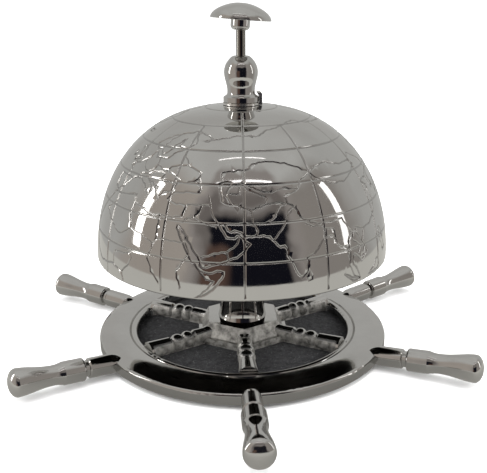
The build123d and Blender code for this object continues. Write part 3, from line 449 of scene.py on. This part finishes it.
class BellSurface:
    """The bell's outside by angle and by arc length s from the lip, and the disc that it unrolls to."""

    def __init__(self):
        r, z, nr, nz = profile_table(BELL_R, BELL_RISE, LIP_Z + LIP_ROUND, CROWN_FLAT_R)
        crown = LIP_Z + BELL_RISE
        self.r = np.concatenate([r, [HOLE_R]])
        self.z = np.concatenate([z, [crown]])
        self.nr = np.concatenate([nr, [0.0]])
        self.nz = np.concatenate([nz, [1.0]])
        steps = np.hypot(np.diff(self.r), np.diff(self.z))
        self.s = LIP_ROUND + np.concatenate([[0], np.cumsum(steps)])
        self.end = self.s[-1]

    def at(self, angle, s):
        """Points and normals for angles in radians and arc lengths in mm."""
        r = np.interp(s, self.s, self.r)
        z = np.interp(s, self.s, self.z)
        nr = np.interp(s, self.s, self.nr)
        nz = np.interp(s, self.s, self.nz)
        points = np.stack([r * np.cos(angle), r * np.sin(angle), z], -1)
        normals = np.stack([nr * np.cos(angle), nr * np.sin(angle), nz], -1)
        return points, normals / np.linalg.norm(normals, axis=-1, keepdims=True)

    def radius(self, s):
        return np.interp(s, self.s, self.r)

    def to_disc(self, angle, s):
        reach = self.end - np.asarray(s) + HOLE_R
        return np.stack([reach * np.cos(angle), reach * np.sin(angle)], -1)

    def from_disc(self, flat):
        reach = np.hypot(flat[:, 0], flat[:, 1])
        return np.arctan2(flat[:, 1], flat[:, 0]), self.end + HOLE_R - reach


bell = BellSurface()


class Groove:
    """One cut line: its centre as angles and arc lengths, and its half width."""

    def __init__(self, angle, s, half_width, closed=False):
        self.angle = np.asarray(angle, float)
        self.s = np.asarray(s, float)
        self.half_width = half_width
        self.closed = closed

    def lines(self):
        """The centre, the walls' middles and the edges, each as angles and arc lengths."""
        r = bell.radius(self.s)
        if self.closed:
            run = r * (np.roll(self.angle, -1) - np.roll(self.angle, 1))
            climb = np.roll(self.s, -1) - np.roll(self.s, 1)
        else:
            run = r * np.gradient(self.angle)
            climb = np.gradient(self.s)
        length = np.hypot(run, climb) + 1e-9
        for share in (-1.0, -WALL_LINE, 0.0, WALL_LINE, 1.0):
            out = share * self.half_width
            yield self.angle - out * climb / length / r, self.s + out * run / length


def meridians():
    """Every third meridian runs on to the highest parallel."""
    for number in range(MERIDIANS):
        angle = math.radians(FRONT_MERIDIAN + number * 360 / MERIDIANS)
        last = PARALLELS[-1] if number % 3 == 0 else PARALLELS[-2]
        s = np.arange(LOWEST_CUT, last * DEGREES_OF_LATITUDE, GRID_STEP)
        yield Groove(np.full(len(s), angle), s, GRID_HALF_WIDTH)


def parallels():
    """One full circle at each latitude."""
    for latitude in PARALLELS:
        s = latitude * DEGREES_OF_LATITUDE
        count = int(2 * math.pi * bell.radius(s) / GRID_STEP)
        angle = np.arange(count) * 2 * math.pi / count
        # The whole turn is closed by repeating its first point
        angle = np.append(angle, 2 * math.pi)
        yield Groove(angle, np.full(count + 1, s), GRID_HALF_WIDTH)


def coast(outline, half_width=COAST_HALF_WIDTH, closed=False):
    """A hand-cut coastline or border: straight strokes between the points, with a slight wobble."""
    lon, lat = np.array(outline, float).T
    if closed:
        lon, lat = np.append(lon, lon[0]), np.append(lat, lat[0])
    angle = np.radians(FRONT_MERIDIAN + lon - FRONT_LONGITUDE)
    s = np.maximum(lat * DEGREES_OF_LATITUDE, LOWEST_CUT)
    r = bell.radius(s)
    strokes = np.hypot(np.diff(angle) * (r[1:] + r[:-1]) / 2, np.diff(s))
    along = np.concatenate([[0], np.cumsum(strokes)])
    count = max(int(along[-1] / COAST_STEP), FEWEST_STROKES)
    places = np.linspace(0, along[-1], count)
    angle = np.interp(places, along, angle)
    s = np.interp(places, along, s)
    wobble = rng.normal(0, COAST_WOBBLE, (2, count))
    wobble[:, 0] = 0
    wobble[:, -1] = 0
    angle = angle + wobble[0] / bell.radius(s)
    s = np.maximum(s + wobble[1], LOWEST_CUT)
    if closed:
        angle, s = angle[:-1], s[:-1]
    return Groove(angle, s, half_width, closed)


def engraving():
    grooves = list(meridians()) + list(parallels())
    grooves += [coast(AFRICA_ASIA_EUROPE), coast(AMERICAS)]
    grooves += [coast(island, closed=True) for island in ISLANDS]
    grooves += [coast(border, BORDER_HALF_WIDTH) for border in BORDERS]
    return grooves


def groove_tree(grooves):
    """All centre lines as close-set points in space, for measuring how far a point lies from a cut."""
    points, widths = [], []
    for groove in grooves:
        angle, s = groove.angle, groove.s
        if groove.closed:
            angle, s = np.append(angle, angle[0]), np.append(s, s[0])
        fine = np.linspace(0, len(s) - 1, (len(s) - 1) * FINE_STEPS + 1)
        index = np.arange(len(s))
        on, _ = bell.at(np.interp(fine, index, angle), np.interp(fine, index, s))
        points.append(on)
        widths.append(np.full(len(on), groove.half_width))
    points, widths = np.concatenate(points), np.concatenate(widths)
    tree = kdtree.KDTree(len(points))
    for index, point in enumerate(points):
        tree.insert(point, index)
    tree.balance()
    return tree, widths


def share_of_width(tree, widths, points):
    """Distance to the nearest cut's centre as a share of its half width."""
    found = [tree.find(point) for point in points]
    return np.array([distance / widths[index] for _, index, distance in found])


def engraved_sheet(grooves):
    """The outside cut into triangles along every groove: disc places and triangles.
    The lip's circle comes first, then the hole's circle."""
    turn = np.arange(AROUND) * 2 * math.pi / AROUND
    places = [bell.to_disc(turn, LIP_ROUND), bell.to_disc(turn, bell.end)]
    ring = [(i, (i + 1) % AROUND) for i in range(AROUND)]
    edges = ring + [(a + AROUND, b + AROUND) for a, b in ring]
    count = 2 * AROUND
    for groove in grooves:
        for angle, s in groove.lines():
            s = np.clip(s, LIP_ROUND + CLEAR_OF_LIP, bell.end - CLEAR_OF_HOLE)
            places.append(bell.to_disc(angle, s))
            total = len(s)
            edges += [(count + i, count + i + 1) for i in range(total - 1)]
            if groove.closed:
                edges.append((count + total - 1, count))
            count += total
    tree, widths = groove_tree(grooves)
    rings = int((bell.end - LIP_ROUND) / FILL_STEP)
    for level in range(1, rings):
        s = LIP_ROUND + level * FILL_STEP
        points = max(int(2 * math.pi * bell.radius(s) / FILL_STEP), 12)
        angle = (np.arange(points) + 0.5 * (level % 2)) * 2 * math.pi / points
        on, _ = bell.at(angle, np.full(points, s))
        clear = share_of_width(tree, widths, on) > CLEAR_OF_CUTS
        places.append(bell.to_disc(angle[clear], s))
    flat = np.concatenate(places)
    result = geometry.delaunay_2d_cdt([Vector(p) for p in flat], edges, [], 0, 1e-4)
    corners = np.array([tuple(v) for v in result[0]])
    triangles = np.array(result[2])
    middles = corners[triangles].mean(1)
    triangles = triangles[np.hypot(middles[:, 0], middles[:, 1]) > HOLE_R]
    came_from = {first: index for index, group in enumerate(result[3]) for first in group}
    circles = [came_from[i] for i in range(2 * AROUND)]
    return corners, triangles, circles, tree, widths


def inside_rings():
    """Circles from the outside's lip, round under the lip, up the inside and out through the hole.
    Each is its radius, its height and its normal's two parts."""
    rings = []
    for step in range(1, LIP_STEPS + 1):
        turn = step / LIP_STEPS * math.pi / 2
        rings.append((BELL_R - LIP_ROUND * (1 - math.cos(turn)), LIP_Z + LIP_ROUND * (1 - math.sin(turn)),
                      math.cos(turn), -math.sin(turn)))
    inner = BELL_R - BELL_WALL
    for step in range(LIP_STEPS + 1):
        turn = step / LIP_STEPS * math.pi / 2
        rings.append((inner + LIP_ROUND * (1 - math.sin(turn)), LIP_Z + LIP_ROUND * (1 - math.cos(turn)),
                      -math.sin(turn), -math.cos(turn)))
    r, z, nr, nz = profile_table(inner, BELL_RISE - BELL_WALL, LIP_Z + LIP_ROUND, CROWN_FLAT_R)
    steps = np.concatenate([[0], np.cumsum(np.hypot(np.diff(r), np.diff(z)))])
    for place in np.linspace(0, steps[-1], INSIDE_RINGS)[1:]:
        rings.append(tuple(np.interp(place, steps, row) for row in (r, z, -nr, -nz)))
    under = LIP_Z + BELL_RISE - BELL_WALL
    rings.append((HOLE_R + TINY_EDGE, under, 0, -1))
    rings.append((HOLE_R, under + TINY_EDGE, -1, 0))
    rings.append((HOLE_R, BELL_HIGH.z - TINY_EDGE, -1, 0))
    return rings


def make_bell():
    """The bell as one closed mesh: the engraved outside, the lip, the inside and the hole's wall."""
    grooves = engraving()
    corners, triangles, circles, tree, widths = engraved_sheet(grooves)
    angle, s = bell.from_disc(corners)
    points, normals = bell.at(angle, s)
    share = share_of_width(tree, widths, points)
    share[circles] = 2.0
    depth = np.clip(1 - share ** 2, 0, 1)
    cut = points - normals * (GROOVE_DEPTH * depth)[:, None]
    # Inside a groove the shading follows the cut; elsewhere it follows the bell's own curve
    a, b, c = (cut[triangles[:, i]] for i in range(3))
    facing = np.cross(b - a, c - a)
    upward = np.einsum("ij,ij->i", facing, normals[triangles[:, 0]])
    flip = upward < 0
    triangles[flip] = triangles[flip][:, ::-1]
    facing[flip] *= -1
    shaded = np.zeros_like(cut)
    for i in range(3):
        np.add.at(shaded, triangles[:, i], facing)
    shaded /= np.linalg.norm(shaded, axis=1, keepdims=True) + 1e-12
    in_groove = share < FOLLOWS_CUT
    shaded[~in_groove] = normals[~in_groove]

    # The lip, the inside and the hole's wall
    turn = np.arange(AROUND) * 2 * math.pi / AROUND
    points = [cut]
    shading = [shaded]
    loops = [circles[:AROUND]]
    count = len(cut)
    for r, z, nr, nz in inside_rings():
        points.append(np.stack([r * np.cos(turn), r * np.sin(turn), np.full(AROUND, z)], -1))
        shading.append(np.stack([nr * np.cos(turn), nr * np.sin(turn), np.full(AROUND, nz)], -1))
        loops.append(list(range(count, count + AROUND)))
        count += AROUND
    loops.append(circles[AROUND:])
    faces = [tuple(int(i) for i in t) for t in triangles]
    outside_faces = len(faces)
    for low, high in zip(loops, loops[1:]):
        for i in range(AROUND):
            j = (i + 1) % AROUND
            faces.append((low[j], low[i], high[i], high[j]))
    points = np.concatenate(points)
    shading = np.concatenate(shading)
    mesh = bpy.data.meshes.new("bell")
    mesh.from_pydata((points * MM).tolist(), [], faces)
    mesh.materials.append(nickel_bell)
    # The inside's almost black material is painted shade.
    mesh.materials.append(bell_inside_painted_dark)
    lip_faces = outside_faces + 2 * LIP_STEPS * AROUND
    mesh.polygons.foreach_set("material_index", [0] * lip_faces + [1] * (len(faces) - lip_faces))
    groove_depth = mesh.attributes.new("groove", "FLOAT", "POINT")
    values = np.zeros(len(points))
    values[:len(depth)] = depth
    groove_depth.data.foreach_set("value", values)
    smooth(mesh)
    mesh.normals_split_custom_set_from_vertices(shading.tolist())
    piece = link("bell_engraved", mesh)
    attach(piece, "stand")
    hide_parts("dome")


# ---------------------------------------------------------------- felt pad

UNEVEN_TOP = 0.14  # mm
RAGGED_RIM = 0.06


def make_felt():
    """The pad with a softly uneven top and a rounded, slightly ragged rim."""
    low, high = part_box("felt_pad")
    outer = high.x - 0.15 * MM
    inner = 7.0 * MM
    thick = high.z - low.z
    around = 288
    circles = 62
    radii = np.linspace(inner, outer, circles)
    rows = [(inner, 0.0)]
    rows += [(inner, thick * 0.8)]
    rows += [(r, thick) for r in radii[1:-1]]
    rows += [(outer - 0.25 * MM, thick - 0.05 * MM), (outer, thick * 0.8), (outer, thick * 0.25)]
    rows += [(outer - 0.3 * MM, 0.0)]
    angle = np.arange(around) * 2 * math.pi / around
    points = []
    for index, (r, z) in enumerate(rows):
        top = 1 < index < len(rows) - 4
        jitter_z = rng.uniform(-UNEVEN_TOP, 0.0, around) * MM * top
        jitter_r = rng.uniform(-RAGGED_RIM, RAGGED_RIM, around) * MM * (1 < index < len(rows) - 1)
        reach = r + jitter_r
        points.append(np.stack([reach * np.cos(angle), reach * np.sin(angle), z + jitter_z], -1))
    points = np.concatenate(points)
    faces = []
    count = len(rows)
    for row in range(count):
        for i in range(around):
            j = (i + 1) % around
            a, b = row * around, ((row + 1) % count) * around
            faces.append((a + j, a + i, b + i, b + j))
    mesh = bpy.data.meshes.new("felt")
    mesh.from_pydata(points.tolist(), [], faces)
    mesh.materials.append(felt)
    smooth(mesh)
    piece = link("felt", mesh)
    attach(piece, "stand")
    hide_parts("felt_pad")


# ---------------------------------------------------------------- spring


def make_spring():
    """A compression spring with a closed, ground coil at each end."""
    low, high = (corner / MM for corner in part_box("return_spring"))
    wire = 0.3
    mean = high.x - wire
    turns = 7
    ends = 1.0  # closed turns at each end
    steps_in_turn = 40
    steps = turns * steps_in_turn
    around = 10
    closed_pitch = 2 * wire * 0.9
    bottom, top = low.z + wire, high.z - wire
    points, faces = [], []
    for step in range(steps + 1):
        turn = step / steps_in_turn
        share = np.clip((turn - ends) / (turns - 2 * ends), 0, 1)
        closed = min(turn, ends) * closed_pitch
        closed_top = max(turn - (turns - ends), 0) * closed_pitch
        lift = bottom + closed + closed_top + share * (top - bottom - 2 * closed_pitch * ends)
        angle = 2 * math.pi * turn
        centre = Vector((mean * math.cos(angle), mean * math.sin(angle), lift))
        out = Vector((math.cos(angle), math.sin(angle), 0))
        for k in range(around):
            spin = 2 * math.pi * k / around
            across = math.cos(spin) * out + math.sin(spin) * Vector((0, 0, 1))
            points.append((centre + wire * across) * MM)
    for step in range(steps):
        for k in range(around):
            a, b = step * around, (step + 1) * around
            j = (k + 1) % around
            faces.append((a + k, b + k, b + j, a + j))
    faces.append(tuple(range(around)))
    faces.append(tuple(steps * around + k for k in reversed(range(around))))
    mesh = bpy.data.meshes.new("spring")
    mesh.from_pydata(points, [], faces)
    mesh.materials.append(steel)
    smooth(mesh)
    piece = link("spring", mesh)
    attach(piece, "stand")
    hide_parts("return_spring")
    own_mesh(piece)


# ---------------------------------------------------------------- floor, lights and what reflections see


def make_floor():
    mesh = bpy.data.meshes.new("floor")
    half = 2.5
    corners = [(-half, -half, 0), (half, -half, 0), (half, half, 0), (-half, half, 0)]
    mesh.from_pydata(corners, [], [(0, 1, 2, 3)])
    mesh.materials.append(plain_material("floor", (0.93, 0.93, 0.93), 0.9))
    floor = link("floor", mesh)


TABLE_EDGE = 0.215  # metres from the axis
# The table's colour close to the bell is painted shade, standing in for the bell's shadow and occlusion in
# reflections.
TABLE_NEAR_PAINTED_SHADE = (0.26, 0.255, 0.24, 1)
TABLE_FAR = (0.66, 0.65, 0.61, 1)
LEFT_WALL = (0.48, 0.435, 0.395, 1)
RIGHT_WALL = (0.33, 0.305, 0.285, 1)
BACK_WALL = (0.54, 0.54, 0.525, 1)
CEILING = (0.61, 0.61, 0.595, 1)
STAIN = (0.36, 0.32, 0.30, 1)
CURTAIN = (0.36, 0.33, 0.315, 1)
DOORWAY = (0.20, 0.18, 0.17, 1)
DARKNESS = (0.008, 0.008, 0.013, 1)
LINTEL = (0.34, 0.32, 0.31, 1)
WARM_SHAPE = (0.12, 0.075, 0.06, 1)


def tent_color(nodes, direction):
    """A light tent: pinkish side walls, a pale back and top, and a dark opening where the viewer stands."""
    split = nodes.add("ShaderNodeSeparateXYZ", {0: direction})
    x, y, z = split.outputs
    toward_front = nodes.math("MULTIPLY", y, -1.0)
    azimuth = nodes.math("MULTIPLY", nodes.math("ARCTAN2", x, toward_front), 180 / math.pi)
    elevation = nodes.math("MULTIPLY", nodes.math("ARCSINE", z), 180 / math.pi)
    # The room's edges are not straight
    sway = nodes.math("SUBTRACT", nodes.noise(direction, 2.6, 2.0), 0.5)
    azimuth = nodes.math("ADD", azimuth, nodes.math("MULTIPLY", sway, 26.0))
    elevation = nodes.math("ADD", elevation, nodes.math("MULTIPLY", sway, 16.0))

    def past(angle, edge, soft):
        return nodes.ramp(angle, edge - soft, edge + soft, 0.0, 1.0, True)

    def short_of(angle, edge, soft):
        return nodes.ramp(angle, edge - soft, edge + soft, 1.0, 0.0, True)

    def patch(left, right, low, high, soft):
        """How far inside a patch of the tent a direction lies, from 0 to 1."""
        inside = past(azimuth, left, soft)
        inside = nodes.math("MULTIPLY", inside, short_of(azimuth, right, soft))
        inside = nodes.math("MULTIPLY", inside, past(elevation, low, soft))
        return nodes.math("MULTIPLY", inside, short_of(elevation, high, soft))

    side = nodes.ramp(nodes.math("ABSOLUTE", azimuth), 80.0, 115.0, 0.0, 1.0, True)
    wall = nodes.mix(nodes.ramp(azimuth, 0.0, 50.0, 0.0, 1.0), LEFT_WALL, RIGHT_WALL)
    color = nodes.mix(side, wall, BACK_WALL)
    above = nodes.ramp(elevation, 40.0, 60.0, 0.0, 1.0, True)
    color = nodes.mix(above, color, CEILING)
    seam = nodes.noise(direction, 2.2, 3.0)
    color = nodes.mix(nodes.ramp(seam, 0.42, 0.62, 0.0, 0.16), color, STAIN)
    color = nodes.mix(patch(-44, 44, -95, 70, 5.0), color, CURTAIN)
    color = nodes.mix(patch(-36, 36, -95, 50, 5.0), color, DOORWAY)
    color = nodes.mix(patch(-28, 34, -95, 31, 3.0), color, DARKNESS)
    color = nodes.mix(patch(-22, 22, 36, 41, 3.0), color, LINTEL)
    return nodes.mix(patch(-31, -15, -6, 10, 4.0), color, WARM_SHAPE)


def make_world():
    """The tent as reflections see it, and plain white for everything else."""
    world = bpy.data.worlds.new("tent")
    bpy.context.scene.world = world
    world.use_nodes = True
    nodes = Nodes(world.node_tree)
    direction = nodes.add("ShaderNodeTexCoord").outputs["Generated"]
    color = tent_color(nodes, direction)
    shade = nodes.add("ShaderNodeBackground", {"Color": color, "Strength": 1.0}).outputs[0]
    plain = nodes.add("ShaderNodeBackground", {"Color": (1, 1, 1, 1), "Strength": 1.3}).outputs[0]
    path = nodes.add("ShaderNodeLightPath")
    mirrored = path.outputs["Is Glossy Ray"]
    both = nodes.add("ShaderNodeMixShader", {0: mirrored, 1: plain, 2: shade}).outputs[0]
    nodes.add("ShaderNodeOutputWorld", {"Surface": both})


def make_surround():
    """What reflections see instead of the bright floor: a pale table, darkened close to the bell as painted
    shade, and past its edge the tent's walls.
    """
    material, nodes = new_material("surround")
    place = nodes.add("ShaderNodeTexCoord").outputs["Object"]
    reach = nodes.add("ShaderNodeVectorMath", {0: place}, operation="LENGTH").outputs["Value"]
    outward = nodes.add("ShaderNodeVectorMath", {0: place}, operation="NORMALIZE").outputs["Vector"]
    past_edge = nodes.ramp(reach, TABLE_EDGE - 0.007, TABLE_EDGE + 0.007, 0.0, 1.0, True)
    # Painted shade: the table darkens towards the bell, from 0.12 m in to 0.055 m from the axis.
    table = nodes.mix(nodes.ramp(reach, 0.055, 0.12, 0.0, 1.0), TABLE_NEAR_PAINTED_SHADE, TABLE_FAR)
    color = nodes.mix(past_edge, table, tent_color(nodes, outward))
    shader = nodes.add("ShaderNodeEmission", {"Color": color, "Strength": 1.0})
    nodes.add("ShaderNodeOutputMaterial", {"Surface": shader.outputs[0]})
    around = 96
    points, faces = [], []
    for radius in (0.0497, TABLE_EDGE, 3.2):
        for step in range(around):
            turn = 2 * math.pi * step / around
            points.append((radius * math.cos(turn), radius * math.sin(turn), 0.0003))
    for row in range(2):
        for step in range(around):
            after = (step + 1) % around
            a, b = row * around, (row + 1) * around
            faces.append((a + step, b + step, b + after, a + after))
    card = hidden_card("surround", points, faces)
    card.data.materials.append(material)


def tent_card(name, left, right, low, high, distance, material):
    """A card on the tent's wall, between two azimuths and two elevations in degrees seen from the bell."""
    centre = Vector((0, 0, 50 * MM))
    corners = []
    for azimuth, elevation in ((left, low), (right, low), (right, high), (left, high)):
        a, e = math.radians(azimuth), math.radians(elevation)
        toward = Vector((math.sin(a) * math.cos(e), -math.cos(a) * math.cos(e), math.sin(e)))
        corners.append(centre + distance * toward)
    card = hidden_card(name, corners, [(0, 1, 2, 3)])
    card.data.materials.append(material)


def make_cards():
    glow = plain_material("lamp_glow", (1.0, 0.99, 0.98), emission=6.0)
    dim = plain_material("dim_glow", (1.0, 0.99, 0.98), emission=2.2)
    bar = plain_material("bar_glow", (1.0, 0.97, 0.98), emission=2.4)
    tent_card("lamp_left", -91, -84, -2, 37, 0.9, glow)
    tent_card("lamp_right", 78, 84, -4, 37, 0.9, dim)
    tent_card("bar_front", -34, 34, 53.0, 55.0, 0.9, bar)
    tent_card("bar_top", -60, 60, 73, 74.5, 0.9, bar)


def make_lights():
    """Soft light from both sides and above."""
    for name, location, size, power in (
        ("light_top", (0.0, 0.1, 0.9), 0.8, 9.0),
        ("light_left", (-0.8, -0.25, 0.5), 0.5, 5.0),
        ("light_right", (0.8, -0.25, 0.5), 0.5, 5.0),
    ):
        data = bpy.data.lights.new(name, "AREA")
        data.shape = "SQUARE"
        data.size = size
        data.energy = power
        light = bpy.data.objects.new(name, data)
        light.location = location
        light.rotation_euler = (Vector((0, 0, 0.04)) - light.location).to_track_quat("-Z", "Y").to_euler()
        light.visible_glossy = False
        bpy.context.scene.collection.objects.link(light)


# ---------------------------------------------------------------- make it all

bpy.context.scene.view_settings.view_transform = "Standard"
make_camera()
dress_nodes()
make_bell()
make_felt()
make_spring()
make_floor()
make_world()
make_surround()
make_cards()
make_lights()
